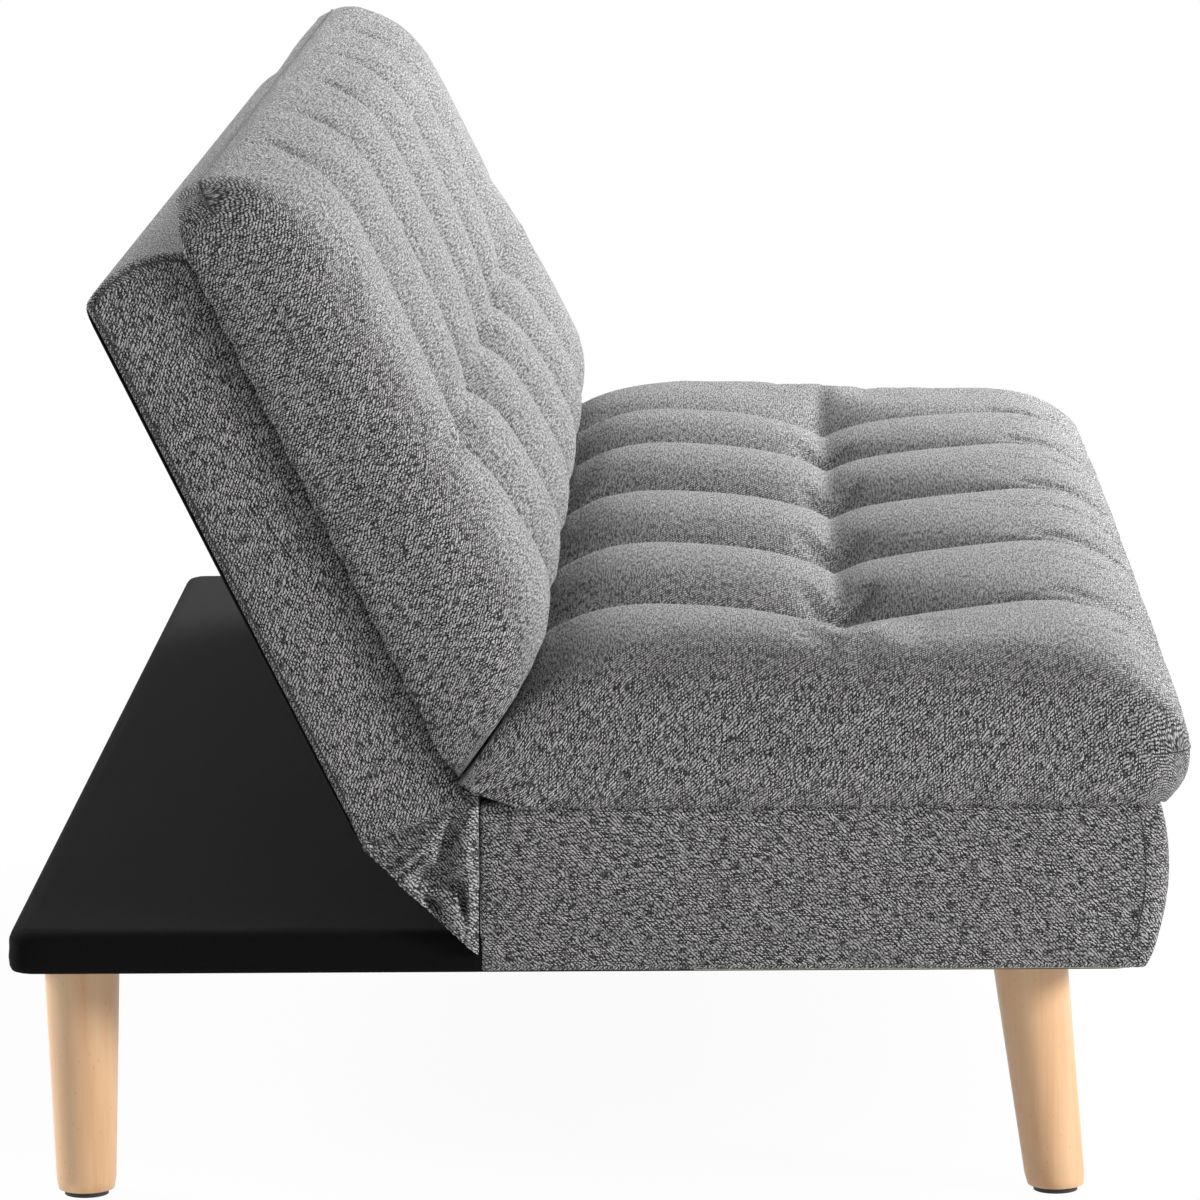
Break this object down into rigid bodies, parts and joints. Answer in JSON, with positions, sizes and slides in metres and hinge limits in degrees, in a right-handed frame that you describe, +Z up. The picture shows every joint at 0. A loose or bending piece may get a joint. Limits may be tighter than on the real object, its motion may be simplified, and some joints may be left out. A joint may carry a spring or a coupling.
{
  "type": "futon sofa",
  "caption": "Armless futon sofa with tufted grey seat and back cushions, a ratchet-hinged back that reclines flat over a black rear deck, and tapered beech legs.",
  "frame": {"origin": "on the floor under the middle of the sofa's box at rest", "axes": "+X to the right seen from the front, -Y towards the sitter's feet, +Z up"},
  "size_m": [1.68, 0.8402, 0.7597],
  "materials": {
    "grey_fabric": "woven, matte",
    "black_cloth": "woven, matte",
    "dust_cloth": "non-woven, matte",
    "webbing": "woven strap",
    "foam": "open-cell foam",
    "beech": "clear satin lacquer",
    "frame_wood": "raw plywood and pine",
    "hardboard": "smooth hardboard",
    "zinc_steel": "zinc plated",
    "glide_plastic": "moulded, matte"
  },
  "bodies": {
    "seat_frame": {"left_side_board": "frame_wood", "right_side_board": "frame_wood", "seat_front_rail": "frame_wood", "seat_rear_rail": "frame_wood", "seat_cross_rails": "frame_wood", "base_rear_rail": "frame_wood", "base_slats": "frame_wood", "base_deck_panel": "hardboard", "base_side_pads": "foam", "base_cover": "black_cloth", "front_leg_blocks": "frame_wood", "rear_leg_blocks": "frame_wood", "leg_bolts": "zinc_steel", "leg_tee_nuts": "zinc_steel", "front_left_leg": "beech", "front_right_leg": "beech", "rear_left_leg": "beech", "rear_right_leg": "beech", "leg_glides": "glide_plastic", "seat_dust_cover": "dust_cloth", "seat_webbing_long": "webbing", "seat_webbing_cross": "webbing", "seat_foam_deck": "foam", "seat_side_pads": "foam", "seat_front_roll": "foam", "seat_cover": "grey_fabric", "seat_frame_screws": "zinc_steel", "left_hinge_seat_plate": "zinc_steel", "right_hinge_seat_plate": "zinc_steel", "left_hinge_pivot_pin": "zinc_steel", "right_hinge_pivot_pin": "zinc_steel", "pawl_pins": "zinc_steel", "hinge_seat_screws": "zinc_steel", "left_pawl_spring": "zinc_steel", "right_pawl_spring": "zinc_steel", "left_gusset": "grey_fabric", "right_gusset": "grey_fabric", "seat_cushion": "grey_fabric"},
    "back_frame": {"left_back_stile": "frame_wood", "right_back_stile": "frame_wood", "back_bottom_rail": "frame_wood", "back_top_rail": "frame_wood", "back_inner_stiles": "frame_wood", "back_webbing": "webbing", "back_foam_pad": "foam", "back_side_pads": "foam", "back_top_pad": "foam", "back_cover": "grey_fabric", "back_dust_cover": "dust_cloth", "back_frame_screws": "zinc_steel", "left_hinge_back_plate": "zinc_steel", "right_hinge_back_plate": "zinc_steel", "hinge_back_screws": "zinc_steel", "back_cushion": "grey_fabric"},
    "left_pawl_body": {"left_pawl": "zinc_steel"},
    "right_pawl_body": {"right_pawl": "zinc_steel"}
  },
  "joints": [
    {"name": "back_recline", "type": "hinge", "parent": "seat_frame", "child": "back_frame", "pos_m": [0, 0.107, 0.275], "axis": [-1, 0, 0], "range_deg": [-5, 64], "deforming": ["left_gusset", "right_gusset"]},
    {"name": "left_pawl_swing", "type": "hinge", "parent": "seat_frame", "child": "left_pawl_body", "pos_m": [-0.8168, 0.06173, 0.24398], "axis": [-1, 0, 0], "range_deg": [0, 8], "stiffness_Nm_per_rad": 0.1, "springref_deg": -11.46, "deforming": ["left_pawl_spring"]},
    {"name": "right_pawl_swing", "type": "hinge", "parent": "seat_frame", "child": "right_pawl_body", "pos_m": [0.8168, 0.06173, 0.24398], "axis": [-1, 0, 0], "range_deg": [0, 8], "stiffness_Nm_per_rad": 0.1, "springref_deg": -11.46, "deforming": ["right_pawl_spring"]}
  ]
}
